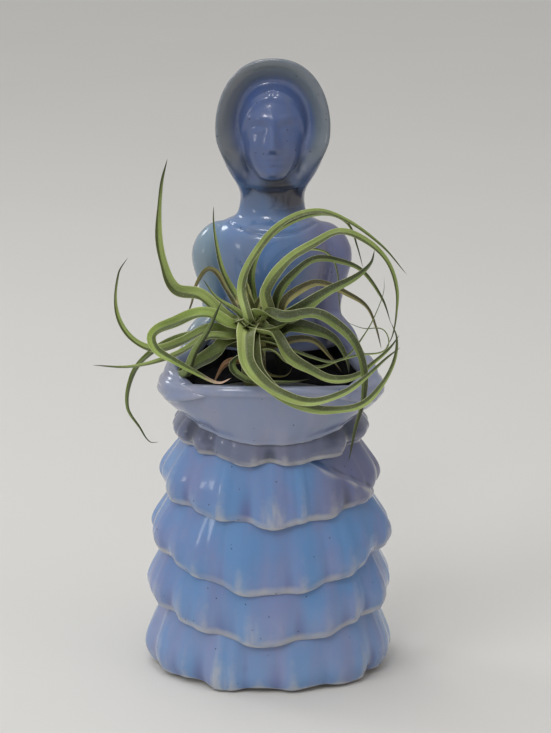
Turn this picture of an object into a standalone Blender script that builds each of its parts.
"""A glazed figural planter: a lady in a bonnet, whose apron pocket holds a loose air plant.

Blender metres, +Z up. The figure faces -Y, and the origin is on the table under the skirt's middle.
The sizes below are in millimetres, and MM turns them into metres as each mesh is made.
"""

import math

import bmesh
import bpy
from mathutils import Matrix, Vector
from mathutils.geometry import interpolate_bezier

MM = 0.001
WELD = 1e-6
CURVE_STEPS = 16
SHARP_ANGLE = 50
SKIRT_COLUMNS = 60
FOOT_COLUMNS = 48
FIGURE_COLUMNS = 36
ARM_COLUMNS = 14
BONNET_COLUMNS = 40
CROWN_COLUMNS = 14

# Casting: the sections are luted together, and each joint keeps a fine line.
JOINT_GAP = 0.3
WALL = 3.4

# Skirt: five flounces and then the pocket, counted from the table up.
FLOUNCE_NAMES = ("flounce_bottom", "flounce_lower", "flounce_middle", "flounce_upper", "flounce_top")
HEM_HEIGHTS = (1.8, 24.0, 42.6, 60.0, 77.8, 87.0)
HEM_HALF_WIDTHS = (36.6, 36.2, 35.4, 32.4, 28.2, 28.4)
HEM_HALF_DEPTHS = (27.4, 26.8, 26.4, 24.4, 22.6, 23.6)
HEM_DIPS = (0.0, 7.2, 9.4, 4.6, 3.0, 6.0)
FOLD_COUNTS = (11, 10, 12, 11, 12)
FOLD_TURNS = (2.6, 4.0, 2.7, 4.4, 3.4)
FOLD_DEPTH = 2.0
# The folds grow towards the hem by this power of the way down.
FOLD_GROWTH = 1.1
# Each flounce has a main wave and a slower one across it, which takes this share and has fewer folds.
CROSS_WAVE = 0.35
CROSS_FEWER = 5
HEM_SCALLOP = 1.4
HEM_OVERHANG = 2.4
HEM_LAP = 2.6
HEM_CLEARANCE = 0.5
HEM_THICKNESS = 1.1
# A flounce flares almost straight from its neck, is widest well below its middle, and turns in at its hem.
SWELL_EARLY = 0.9
FLOUNCE_BULGE = 2.5
BULGE_LATE = 2.2
FLOUNCE_ROWS = (0.0, 0.22, 0.45, 0.66, 0.84, 0.96, 1.0)
LAP_ROWS = (0.0, 0.5, 1.0)

# Foot: a flat plate that closes the skirt and stands on the table.
FOOT_INSET = 3.0
FOOT_FLANGE = 0.9
FLOOR_THICKNESS = 5.0

# Apron pocket: a boat-shaped bowl with two ears, drawn in behind to the waist.
# The ears, the lip and the waist rise by these heights above the pocket's hem.
EAR_HALF_WIDTH = 36.0
EAR_Y = -12.0
EAR_RISE = 10.7
LIP_REACH = 18.0
LIP_RISE = 14.0
LIP_SQUARENESS = 2.8
RIM_THICKNESS = 3.6
RIM_ROUND = 1.4
# The rim's crest is flat between these shares of its thickness.
RIM_CREST = (0.25, 0.75)
POCKET_ROWS = (0.0, 0.3, 0.6, 0.85, 1.0)
WAIST_RISE = 19.0
WAIST_HALF_WIDTH = 22.4
WAIST_Y = 8.0
WAIST_REACH = 16.0
WAIST_SHARE = 0.35

# Bodice, measured from the waist: height, half width, front and back. It stands just inside the rim.
WAIST_INSET = 0.2
BODICE = (
    (0.0, WAIST_HALF_WIDTH - WAIST_INSET, -1.0, WAIST_Y + WAIST_REACH - WAIST_INSET),
    (3.5, 19.2, -1.6, 22.4),
    (9.0, 16.0, -1.4, 20.2),
    (18.0, 16.6, -3.6, 20.0),
    (27.0, 18.0, -4.6, 20.2),
    (34.0, 18.4, -3.4, 19.4),
    (38.6, 15.4, -1.0, 18.4),
    (42.0, 11.4, 1.4, 17.2),
    (46.0, 10.2, 2.4, 16.2),
)

# Arm, measured from the waist: side, y, height and radius, from inside the shoulder to the forearm.
ARM = (
    (11.0, 9.4, 33.0, 4.6),
    (16.6, 9.0, 33.4, 5.2),
    (19.4, 8.4, 28.0, 6.1),
    (18.2, 7.4, 19.0, 5.2),
    (17.6, 5.6, 9.0, 4.6),
    (23.0, 0.4, 3.4, 4.0),
)
HAND_SHARES = (0.17, 0.05)
HAND_RADII = (3.0, 2.2)
HAND_CLEARANCE = 0.5

# Head and neck, measured from the neck joint: height, half width, front and back.
HEAD = (
    (0.0, 10.1, 2.6, 16.0),
    (4.0, 10.0, 2.2, 15.4),
    (7.0, 9.7, -1.6, 15.8),
    (9.0, 9.4, -6.0, 16.2),
    (14.0, 10.6, -7.2, 17.2),
    (20.0, 11.8, -7.4, 18.4),
    (26.0, 12.2, -7.0, 19.0),
    (32.0, 11.4, -5.2, 18.4),
    (36.4, 8.4, -1.4, 15.4),
    (38.6, 4.2, 2.4, 11.0),
)
HEAD_ROUND = 0.6
NOSE_HEIGHT = 18.0
NOSE_LENGTH = 4.0
NOSE_HALF_WIDTH = 2.4
NOSE_DEPTH = 1.8

# Bonnet: a brim round the face that narrows bluntly to the neck, and a crown that closes behind the head.
# The brim's middle is this high above the neck joint, and its foot hangs clear of the joint.
BRIM_HEIGHT = 24.4
BRIM_CLEARANCE = 3.8
BRIM_HALF_WIDTH = 17.4
BRIM_RISE = 20.4
BRIM_TAPER = 0.32
# Powers of the cosine that make the brim's outline fuller than an oval, above and below its middle.
BRIM_FULL_ABOVE = 0.8
BRIM_FULL_BELOW = 0.45
BRIM_TILT = 0.10
# Each station of the bonnet: y, and its share of the brim's outline.
BONNET = (
    (25.0, 0.0),
    (24.2, 0.32),
    (21.6, 0.57),
    (16.6, 0.75),
    (9.6, 0.86),
    (3.0, 0.91),
    (-3.2, 1.0),
    (-4.8, 0.985),
    (-4.6, 0.93),
    (0.6, 0.80),
    (4.0, 0.0),
)

# Air plant: a crown that stands in the pocket's mouth, with leaves in layers round it.
# The plant is measured from the top of the lip's front edge: x, in from the lip, and up.
CROWN_X = -5.5
CROWN_IN = 11.0
CROWN_RADIUS = 5.0
# Height and radius of the crown, from its dry base up.
CROWN = ((-6.0, 1.6), (-1.0, 3.2), (4.0, 4.8), (18.0, 5.0), (21.0, 4.0), (23.5, 2.0))
LAYER_HEIGHTS = (3.0, 7.5, 11.5, 15.5, 19.5)
LEAF_THICKNESS = 0.9
LEAF_CHANNEL = 0.5
LEAF_STEP = 5.0
LEAF_LEAST_STEPS = 10
LEAF_LEAD = 3.0
LEAF_LIFT = 0.3
# A blade's breadth as a share of its width, at its root and at its tip, how fast it broadens at first,
# and how late it tapers.
LEAF_ROOT = 0.4
LEAF_TIP = 0.12
LEAF_BROADENS = 3.0
LEAF_TAPER = 1.6
# A blade turns from flat at the crown to this facing by this share of its length.
LEAF_FACING = (0.0, -0.8, 0.6)
LEAF_TURNED = 0.4

# Each leaf: width, layer, turn round the crown in degrees, then the places that it passes.
LEAVES = {
    "leaf_tall_left": (5.0, 3, 170, (
        (-22, 14, 25), (-30, 13, 28), (-34, 13, 37), (-35, 14, 48), (-34, 15, 60), (-32, 16, 68))),
    "leaf_short_upright": (3.0, 4, 120, (
        (-12, 18, 26), (-15, 18, 32), (-17, 18, 40), (-18, 18, 47), (-18, 18, 53))),
    "leaf_blade_left": (2.4, 4, 190, ((-17, 10, 26), (-21, 9, 32))),
    "leaf_hook_left": (4.0, 2, 165, (
        (-19, 12, 15), (-28, 12, 11), (-37, 12, 9), (-44, 12, 13), (-48, 12, 22), (-47, 12, 33),
        (-44, 12, 38))),
    "leaf_turnback_left": (4.0, 3, 215, (
        (-20, 7, 21), (-30, 5, 19), (-36, 3, 16), (-35, 1, 12), (-30, -1, 9), (-22, -2, 5),
        (-16, -1, 2), (-12, 1, 3))),
    "leaf_level_left": (3.0, 2, 205, ((-19, 8, 14), (-29, 6, 9), (-42, 6, 5), (-55, 7, 5))),
    "leaf_droop_left": (3.4, 1, 155, (
        (-22, 17, 12), (-31, 18, 10), (-38, 16, 6), (-43, 9, 1), (-44, 3, -7), (-40, 0, -13),
        (-37, -1, -17), (-34, -1, -17))),
    "leaf_bent_left": (3.2, 4, 150, (
        (-14, 21, 26), (-19, 23, 32), (-23, 22, 28), (-25, 20, 21), (-27, 18, 17))),
    "leaf_folded_left": (4.4, 1, 185, (
        (-15, 10, 9), (-21, 12, 5), (-26, 12, 2), (-28, 9, 1), (-26, 5, 3), (-23, 3, 11),
        (-19, 2, 18), (-15, 2, 27))),
    "leaf_loop_low": (3.0, 1, 250, (
        (-12, 5, 6), (-8, 4, 2), (-2, 4, 1), (6, 4, 1), (12, 4, 2))),
    "leaf_loop_inner": (2.2, 1, 285, ((-2, 7, 4), (1, 8, 2), (5, 9, 2), (7, 10, 5))),
    "leaf_front_sweep": (4.6, 3, 255, (
        (-8, 1, 15), (-7, -3, 9), (-2, -6, 3), (4, -8, 0), (13, -8, -2), (22, -8, 1),
        (29, -7, 6), (35, -7, 12), (39, -6, 15))),
    "leaf_front_hang": (4.6, 2, 262, (
        (-5, 0, 7), (-1, -3, 2), (4, -5, -2), (10, -6, -4), (18, -7, -5), (27, -8, -3),
        (33, -6, 2), (37, -4, 9), (38, -3, 17), (36, -2, 22))),
    "leaf_top_arch": (3.4, 4, 250, (
        (-9, 10, 30), (-5, 9, 40), (2, 8, 49), (13, 7, 54), (23, 6, 51), (33, 5, 44),
        (41, 4, 35))),
    "leaf_top_arch_inner": (3.0, 4, 85, (
        (-6, 15, 33), (-1, 14, 44), (8, 13, 50), (17, 12, 52), (23, 12, 49), (26, 12, 42),
        (28, 12, 35))),
    "leaf_second_arch": (4.2, 4, 335, (
        (-2, 8, 29), (5, 9, 38), (14, 9, 44), (21, 9, 47), (29, 9, 44), (35, 8, 38),
        (38, 8, 30), (38, 7, 22), (37, 7, 15), (35, 7, 11))),
    "leaf_third_arch": (3.8, 3, 40, (
        (3, 16, 27), (8, 16, 33), (14, 16, 37), (22, 16, 36), (28, 16, 33), (34, 15, 25),
        (37, 14, 17))),
    "leaf_thin_arch": (1.6, 4, 50, (
        (1, 18, 31), (6, 20, 36), (11, 20, 39), (17, 20, 38), (20, 20, 33), (21, 20, 23),
        (22, 19, 16))),
    "leaf_fourth_arch": (4.0, 3, 5, (
        (5, 11, 25), (10, 11, 29), (15, 12, 30), (23, 12, 27), (29, 12, 23), (32, 11, 17),
        (34, 10, 10))),
    "leaf_broad_hook": (5.0, 3, 330, (
        (6, 7, 20), (10, 5, 24), (18, 3, 30), (26, 2, 35), (30, 2, 39), (31, 3, 43))),
    "leaf_right_over": (4.6, 4, 293, (
        (4, 3, 21), (13, 1, 23), (20, 0, 20), (25, -2, 15), (28, -3, 7), (28, -4, -1),
        (26, -2, -11), (24, -1, -23))),
    "leaf_right_into": (4.2, 2, 345, ((7, 8, 17), (13, 6, 17), (19, 6, 14), (23, 6, 8), (24, 7, 3))),
    "leaf_right_under": (3.4, 1, 355, ((7, 12, 12), (13, 12, 12), (18, 12, 7), (22, 12, 2))),
    "leaf_diagonal": (4.2, 3, 293, (
        (0, 3, 16), (5, 1, 10), (11, 1, 6), (18, 0, 3), (26, 0, 4), (31, 0, 8),
        (36, 0, 13), (39, 1, 17))),
    "leaf_thin_return": (1.4, 1, 318, (
        (5, 8, 6), (15, 7, 5), (21, 4, 8), (27, 3, 10), (34, 3, 11), (36, 3, 14),
        (34, 4, 18), (28, 5, 18), (21, 4, 21))),
    "leaf_thin_upright": (1.3, 2, 305, (
        (6, 5, 11), (13, 3, 9), (18, 2, 8), (23, 1, 10), (29, 1, 18), (32, 2, 24),
        (34, 3, 30), (34, 3, 35))),
    "leaf_dry": (2.6, 0, 200, ((-16, 9, 2), (-18, 8, -2))),
}

# Finishes: red, green, blue and roughness.
GLAZE = (0.155, 0.262, 0.515, 0.2)
GLAZE_HEAD = (0.130, 0.205, 0.420, 0.18)
BARE_CLAY = (0.620, 0.540, 0.430, 0.7)
LEAF_GREEN = (0.140, 0.235, 0.045, 0.5)
CROWN_GREEN = (0.290, 0.330, 0.120, 0.6)
DRY_BROWN = (0.150, 0.075, 0.030, 0.7)


def clear_scene():
    for obj in list(bpy.data.objects):
        bpy.data.objects.remove(obj)


def holder(name, place):
    """An empty that a body's pieces are parented to, at this place in millimetres."""
    empty = bpy.data.objects.new(name, None)
    empty.location = Vector(place) * MM
    bpy.context.collection.objects.link(empty)
    return empty


def finish(name, look):
    material = bpy.data.materials.new(name)
    material.use_nodes = True
    shader = material.node_tree.nodes["Principled BSDF"]
    shader.inputs["Base Color"].default_value = (*look[:3], 1.0)
    shader.inputs["Roughness"].default_value = look[3]
    shader.inputs["Metallic"].default_value = 0.0
    return material


def solid(name, columns, rows, place, parent, look):
    """A closed body from a sheet of columns and rows, where place(column, row) gives each corner.

    Edges of the sheet that fall on each other are welded, and the ends that stay open are capped.
    Each face is split on its short diagonal, so that the two sides of a twisted blade never cross.
    """
    bm = bmesh.new()
    bmesh.ops.create_grid(bm, x_segments=columns, y_segments=rows, size=0.5)
    for corner in bm.verts:
        column = round((corner.co.x + 0.5) * columns)
        row = round((corner.co.y + 0.5) * rows)
        corner.co = Vector(place(column % columns, row)) * MM - parent.location
    bmesh.ops.remove_doubles(bm, verts=bm.verts, dist=WELD)
    bmesh.ops.holes_fill(bm, edges=[edge for edge in bm.edges if edge.is_boundary])
    bmesh.ops.recalc_face_normals(bm, faces=bm.faces)
    bmesh.ops.triangulate(bm, faces=bm.faces, quad_method="SHORT_EDGE", ngon_method="BEAUTY")
    mesh = bpy.data.meshes.new(name)
    bm.to_mesh(mesh)
    bm.free()
    mesh.shade_smooth()
    mesh.set_sharp_from_angle(angle=math.radians(SHARP_ANGLE))
    mesh.materials.append(finish(name, look))
    obj = bpy.data.objects.new(name, mesh)
    obj.parent = parent
    bpy.context.collection.objects.link(obj)
    return obj


def cut(obj, cutter):
    """Take the cutter's room out of a piece."""
    cutter.hide_render = True
    cutter.display_type = "WIRE"
    modifier = obj.modifiers.new("room_for_" + cutter.name, "BOOLEAN")
    modifier.operation = "DIFFERENCE"
    modifier.solver = "EXACT"
    modifier.object = cutter


def turn(column, columns):
    return 2 * math.pi * column / columns


def outward(angle):
    return Vector((math.cos(angle), math.sin(angle), 0))


def mix(start, end, share):
    return start + (end - start) * share


def ease(share):
    """A smooth step from 0 to 1."""
    share = min(1.0, max(0.0, share))
    return share * share * (3 - 2 * share)


def on_ring(spread, angle, height):
    """The point of an oval ring about the Z axis, whose spread is its half width and half depth."""
    return Vector((spread.x * math.cos(angle), spread.y * math.sin(angle), height))


def grown(spread, by):
    return spread + Vector((by, by))


# Skirt

def hem_spread(tier):
    return Vector((HEM_HALF_WIDTHS[tier], HEM_HALF_DEPTHS[tier]))


def neck_spread(tier):
    """A flounce is drawn in at its top, under the hem of the next one."""
    return grown(hem_spread(tier + 1), -HEM_OVERHANG)


def bore_spread(tier):
    return grown(neck_spread(tier), -WALL)


def seat_height(tier):
    return HEM_HEIGHTS[tier + 1] + HEM_LAP


def fold(tier, angle):
    """How far a fold stands out at this angle, from 0 in a valley to 1 on a ridge."""
    count = FOLD_COUNTS[tier]
    start = FOLD_TURNS[tier]
    main = (1 - CROSS_WAVE) * math.cos(count * angle + start)
    cross = CROSS_WAVE * math.cos((count - CROSS_FEWER) * angle + 2 * start)
    return 0.5 + 0.5 * (main + cross)


def hem_height(tier, angle):
    """Hems hang lower at the front."""
    return HEM_HEIGHTS[tier] - HEM_DIPS[tier] * max(0.0, -math.sin(angle)) ** 2


def flounce_hem_height(tier, angle):
    """The folds scallop a hem in front and behind, and it runs level at the sides."""
    return hem_height(tier, angle) - HEM_SCALLOP * fold(tier, angle) * abs(math.sin(angle))


def flounce_spread(tier, angle, share):
    """The outside of a flounce, from 0 at its neck to 1 at its hem."""
    swell = math.sin(0.5 * math.pi * share**SWELL_EARLY)
    folds = FOLD_DEPTH * fold(tier, angle) * share**FOLD_GROWTH
    bulge = FLOUNCE_BULGE * math.sin(math.pi * share**BULGE_LATE)
    return grown(neck_spread(tier).lerp(hem_spread(tier), swell), folds + bulge)


def flounce_spread_at(tier, angle, height):
    seat = seat_height(tier)
    share = (seat - height) / (seat - flounce_hem_height(tier, angle))
    return flounce_spread(tier, angle, min(1.0, max(0.0, share)))


def lapped_spread(tier, angle, height):
    """The inside of a hem, which follows the flounce under it at a small clearance."""
    return grown(flounce_spread_at(tier - 1, angle, height), HEM_CLEARANCE)


def flounce(tier, parent):
    columns = SKIRT_COLUMNS
    seat = seat_height(tier)

    def section(angle):
        bottom = flounce_hem_height(tier, angle)
        rest = seat_height(tier - 1) + JOINT_GAP if tier > 0 else FOOT_FLANGE + JOINT_GAP
        points = []
        for share in FLOUNCE_ROWS:
            height = mix(seat, bottom, share)
            spread = flounce_spread(tier, angle, share)
            if tier > 0 and height < rest:
                inside = grown(lapped_spread(tier, angle, height), HEM_THICKNESS)
                spread = Vector((max(spread.x, inside.x), max(spread.y, inside.y)))
            points.append(on_ring(spread, angle, height))
        if tier > 0:
            for share in LAP_ROWS:
                height = mix(bottom, rest, share)
                points.append(on_ring(lapped_spread(tier, angle, height), angle, height))
            points.append(on_ring(bore_spread(tier - 1), angle, rest))
        else:
            points.append(on_ring(bore_spread(tier), angle, rest))
        points.append(on_ring(bore_spread(tier), angle, seat))
        return points

    sections = [section(turn(column, columns)) for column in range(columns)]
    rows = len(sections[0])
    return solid(
        FLOUNCE_NAMES[tier], columns, rows, lambda column, row: sections[column][row % rows], parent, GLAZE)


def foot(parent):
    columns = FOOT_COLUMNS
    flange = grown(hem_spread(0), -FOOT_INSET)
    plug = grown(bore_spread(0), -JOINT_GAP)
    rows = (
        (flange, 0.0),
        (flange, FOOT_FLANGE),
        (plug, FOOT_FLANGE),
        (plug, FLOOR_THICKNESS),
    )

    def place(column, row):
        spread, height = rows[row]
        return on_ring(spread, turn(column, columns), height)

    return solid("foot", columns, len(rows) - 1, place, parent, BARE_CLAY)


# Apron pocket

def ear_height():
    return HEM_HEIGHTS[-1] + EAR_RISE


def lip_height():
    return HEM_HEIGHTS[-1] + LIP_RISE


def waist_height():
    return HEM_HEIGHTS[-1] + WAIST_RISE


def rim_plan(angle, inset):
    """The rim seen from above: a square-ended boat in front, drawn in to the waist behind."""
    across = math.cos(angle)
    along = math.sin(angle)
    if along < 0:
        power = 2 / LIP_SQUARENESS
        x = math.copysign(abs(across) ** power, across) * (EAR_HALF_WIDTH - inset)
        return Vector((x, EAR_Y - abs(along) ** power * (LIP_REACH - inset)))
    pull = max(0.0, 1 - along / (2 * WAIST_SHARE)) ** 2
    x = across * (WAIST_HALF_WIDTH - inset)
    y = WAIST_Y + along * (WAIST_REACH - inset)
    out = EAR_HALF_WIDTH - WAIST_HALF_WIDTH
    return Vector((x + math.copysign(out, across) * pull, y + (EAR_Y - WAIST_Y) * pull))


def rim_height(angle):
    along = math.sin(angle)
    if along < 0:
        return mix(ear_height(), lip_height(), ease(-along))
    return mix(ear_height(), waist_height(), ease(along / WAIST_SHARE))


def rim_point(angle, inset, drop):
    plan = rim_plan(angle, inset)
    return Vector((plan.x, plan.y, rim_height(angle) - drop))


def apron_pocket(parent):
    columns = SKIRT_COLUMNS
    top = len(FLOUNCE_NAMES) - 1
    hem = top + 1
    rest = seat_height(top) + JOINT_GAP

    def section(angle):
        bottom = hem_height(hem, angle)
        inside = [on_ring(bore_spread(top), angle, rest)]
        for share in reversed(LAP_ROWS):
            height = mix(bottom, rest, share)
            inside.append(on_ring(lapped_spread(hem, angle, height), angle, height))
        least = grown(lapped_spread(hem, angle, bottom), HEM_THICKNESS)
        spread = Vector((max(least.x, HEM_HALF_WIDTHS[hem]), max(least.y, HEM_HALF_DEPTHS[hem])))
        start = on_ring(spread, angle, bottom + RIM_ROUND)
        end = rim_point(angle, 0.0, RIM_ROUND)
        outside = [on_ring(grown(spread, -RIM_ROUND / 2), angle, bottom)]
        for share in POCKET_ROWS:
            outside.append(start.lerp(end, share) + Vector((0, 0, -RIM_ROUND * math.sin(math.pi * share))))
        crest = [rim_point(angle, RIM_THICKNESS * share, 0.0) for share in RIM_CREST]
        crest.append(rim_point(angle, RIM_THICKNESS, RIM_ROUND))
        inner = [crest[-1].lerp(inside[0], 0.5)]
        return inside + outside + crest + inner

    sections = [section(turn(column, columns)) for column in range(columns)]
    rows = len(sections[0])
    return solid(
        "apron_pocket", columns, rows, lambda column, row: sections[column][row % rows], parent, GLAZE)


# Figure

def level_point(level, angle, base, grow):
    """A point of an oval level of the figure: height, half width, front and back."""
    height, half_width, front, back = level
    depth = (back - front) / 2 + grow
    return Vector((
        (half_width + grow) * math.cos(angle), (front + back) / 2 + depth * math.sin(angle), base + height))


def bodice(parent):
    columns = FIGURE_COLUMNS
    base = waist_height() + JOINT_GAP
    levels = [(level, 0.0) for level in BODICE] + [(level, -WALL) for level in reversed(BODICE)]

    def place(column, row):
        level, grow = levels[row % len(levels)]
        return level_point(level, turn(column, columns), base, grow)

    return solid("bodice", columns, len(levels), place, parent, GLAZE)


def bodice_room(parent):
    """The bodice's outside with a joint gap all round, for cutting the arms."""
    columns = FIGURE_COLUMNS
    base = waist_height() + JOINT_GAP

    def place(column, row):
        return level_point(BODICE[row], turn(column, columns), base, JOINT_GAP)

    return solid("bodice_room", columns, len(BODICE) - 1, place, parent, GLAZE)


def smooth_route(points, step, least_steps):
    """Even steps along a smooth curve through the points."""
    dense = []
    last = len(points) - 1
    for index in range(last):
        before, start = points[max(0, index - 1)], points[index]
        end, after = points[index + 1], points[min(last, index + 2)]
        reach = (end - start).length / 3
        out = (end - before).normalized() * reach
        back = (after - start).normalized() * reach
        dense += interpolate_bezier(start, start + out, end - back, end, CURVE_STEPS)[:-1]
    dense.append(points[last])
    lengths = [0.0]
    for start, end in zip(dense, dense[1:]):
        lengths.append(lengths[-1] + (end - start).length)
    count = max(least_steps, round(lengths[-1] / step))
    route = []
    index = 0
    for number in range(count + 1):
        wanted = lengths[-1] * number / count
        while index < len(dense) - 2 and lengths[index + 1] < wanted:
            index += 1
        share = (wanted - lengths[index]) / (lengths[index + 1] - lengths[index])
        route.append(dense[index].lerp(dense[index + 1], share))
    return route


def tangents(route):
    last = len(route) - 1
    return [(route[min(last, i + 1)] - route[max(0, i - 1)]).normalized() for i in range(last + 1)]


def hand_angle(side, share):
    return math.asin(share) if side > 0 else math.pi - math.asin(share)


def arm(name, side, parent, room):
    """A sleeve from the shoulder to the elbow, and a forearm whose hand rests on the pocket's rim."""
    columns = ARM_COLUMNS
    base = waist_height() + JOINT_GAP
    stations = [Vector((side * x, y, base + height, radius)) for x, y, height, radius in ARM]
    for share, radius in zip(HAND_SHARES, HAND_RADII):
        rest = rim_point(hand_angle(side, share), RIM_THICKNESS / 2, 0.0)
        stations.append(Vector((rest.x, rest.y, rest.z + radius + HAND_CLEARANCE, radius)))
    axis = [station.to_3d() for station in stations]
    along = tangents(axis)

    def place(column, row):
        angle = turn(column, columns)
        aside = along[row].cross(Vector((0, 1, 0))).normalized()
        ahead = aside.cross(along[row])
        return axis[row] + (aside * math.cos(angle) + ahead * math.sin(angle)) * stations[row].w

    obj = solid(name, columns, len(stations) - 1, place, parent, GLAZE)
    cut(obj, room)
    return obj


def neck_height():
    return waist_height() + BODICE[-1][0] + 2 * JOINT_GAP


def head_surface(level, angle, base, grow):
    """The head's outside, with a plain nose on the face."""
    point = level_point(level, angle, base, grow)
    if math.sin(angle) < 0:
        across = max(0.0, 1 - abs(point.x) / NOSE_HALF_WIDTH)
        along = max(0.0, 1 - abs(level[0] - NOSE_HEIGHT) / NOSE_LENGTH)
        point.y -= NOSE_DEPTH * across * along
    return point


def head(parent):
    columns = FIGURE_COLUMNS
    base = neck_height()
    top = HEAD[-1]
    crest = Vector((0, (top[2] + top[3]) / 2, base + top[0] + HEAD_ROUND))
    inner = [level for level in HEAD if level[1] > 2 * WALL]

    def place(column, row):
        angle = turn(column, columns)
        if row < len(HEAD):
            return head_surface(HEAD[row], angle, base, 0.0)
        if row == len(HEAD):
            return crest
        if row == len(HEAD) + 1:
            return crest - Vector((0, 0, 2 * WALL))
        if row == rows:
            return head_surface(HEAD[0], angle, base, 0.0)
        return level_point(inner[-(row - len(HEAD) - 1)], angle, base, -WALL)

    rows = len(HEAD) + 2 + len(inner)
    return solid("head", columns, rows, place, parent, GLAZE_HEAD)


def head_room(parent):
    """The head's outside with a joint gap all round, for cutting the bonnet."""
    columns = FIGURE_COLUMNS
    base = neck_height()
    top = HEAD[-1]
    crest = Vector((0, (top[2] + top[3]) / 2, base + top[0] + HEAD_ROUND + JOINT_GAP))

    def place(column, row):
        if row == len(HEAD):
            return crest
        return head_surface(HEAD[row], turn(column, columns), base, JOINT_GAP)

    return solid("head_room", columns, len(HEAD), place, parent, GLAZE_HEAD)


def bonnet(parent, room):
    columns = BONNET_COLUMNS

    def place(column, row):
        angle = turn(column, columns)
        y, share = BONNET[row]
        up = math.sin(angle)
        half_width = BRIM_HALF_WIDTH * (1 - BRIM_TAPER * max(0.0, -up) ** 2)
        rise = BRIM_RISE if up > 0 else BRIM_HEIGHT - BRIM_CLEARANCE
        full = BRIM_FULL_ABOVE if up > 0 else BRIM_FULL_BELOW
        across = math.cos(angle)
        x = half_width * math.copysign(abs(across) ** full, across) * share
        z = rise * up * share
        return (x, y + BRIM_TILT * z, neck_height() + BRIM_HEIGHT + z)

    obj = solid("bonnet", columns, len(BONNET) - 1, place, parent, GLAZE_HEAD)
    cut(obj, room)
    return obj


# Air plant

def plant_place(x, inward, up):
    """A place of the plant, measured from the top of the lip's front edge."""
    return Vector((x, EAR_Y - LIP_REACH + inward, lip_height() + up))


def crown(parent):
    columns = CROWN_COLUMNS

    def place(column, row):
        height, radius = CROWN[row]
        return plant_place(CROWN_X, CROWN_IN, height) + outward(turn(column, columns)) * radius

    return solid("plant_crown", columns, len(CROWN) - 1, place, parent, CROWN_GREEN)


def leaf_frames(route):
    """Tangent and blade normal at each step: flat to the crown at first, then turned to its facing."""
    along = tangents(route)
    facing = Vector(LEAF_FACING)
    normals = []
    normal = Vector((0, 0, 1))
    for tangent in along:
        normal = (normal - tangent * normal.dot(tangent)).normalized()
        normals.append(normal.copy())
    middle = round(LEAF_TURNED * (len(route) - 1))
    wanted = (facing - along[middle] * facing.dot(along[middle])).normalized()
    sine = normals[middle].cross(wanted).dot(along[middle])
    # Either side of the blade may face that way, whichever is the smaller twist.
    twist = math.remainder(math.atan2(sine, normals[middle].dot(wanted)), math.pi)
    for index, tangent in enumerate(along):
        angle = twist * ease(index / middle)
        normals[index] = Matrix.Rotation(angle, 3, tangent) @ normals[index]
    return along, normals


def leaf(name, parent):
    """A channelled blade from the crown's side, through its places, to a fine tip."""
    width, layer, degrees, places = LEAVES[name]
    away = outward(math.radians(degrees))
    root = plant_place(CROWN_X, CROWN_IN, LAYER_HEIGHTS[layer]) + away * (CROWN_RADIUS + JOINT_GAP)
    lead = root + (away + Vector((0, 0, LEAF_LIFT))) * LEAF_LEAD
    places = [plant_place(*place) for place in places]
    route = smooth_route([root, lead] + places, LEAF_STEP, LEAF_LEAST_STEPS)
    along, normals = leaf_frames(route)
    last = len(route) - 1

    def place(column, row):
        share = row / last
        broad = ease(LEAF_ROOT + LEAF_BROADENS * share) * (1 - (1 - LEAF_TIP) * share**LEAF_TAPER)
        side = along[row].cross(normals[row])
        half = width * broad / 2
        thick = LEAF_THICKNESS * max(LEAF_ROOT, broad) / 2
        offsets = (
            side * -half + normals[row] * LEAF_CHANNEL * broad,
            normals[row] * thick,
            side * half + normals[row] * LEAF_CHANNEL * broad,
            normals[row] * -thick,
        )
        return route[row] + offsets[column]

    return solid(name, 4, last, place, parent, DRY_BROWN if layer == 0 else LEAF_GREEN)


def main():
    clear_scene()
    planter = holder("planter", (0, 0, 0))
    foot(planter)
    for tier in range(len(FLOUNCE_NAMES)):
        flounce(tier, planter)
    apron_pocket(planter)
    bodice(planter)
    arm_room = bodice_room(planter)
    arm("arm_right", -1, planter, arm_room)
    arm("arm_left", 1, planter, arm_room)
    head(planter)
    bonnet(planter, head_room(planter))
    air_plant = holder("air_plant", plant_place(CROWN_X, CROWN_IN, CROWN[0][0]))
    crown(air_plant)
    for name in LEAVES:
        leaf(name, air_plant)


main()
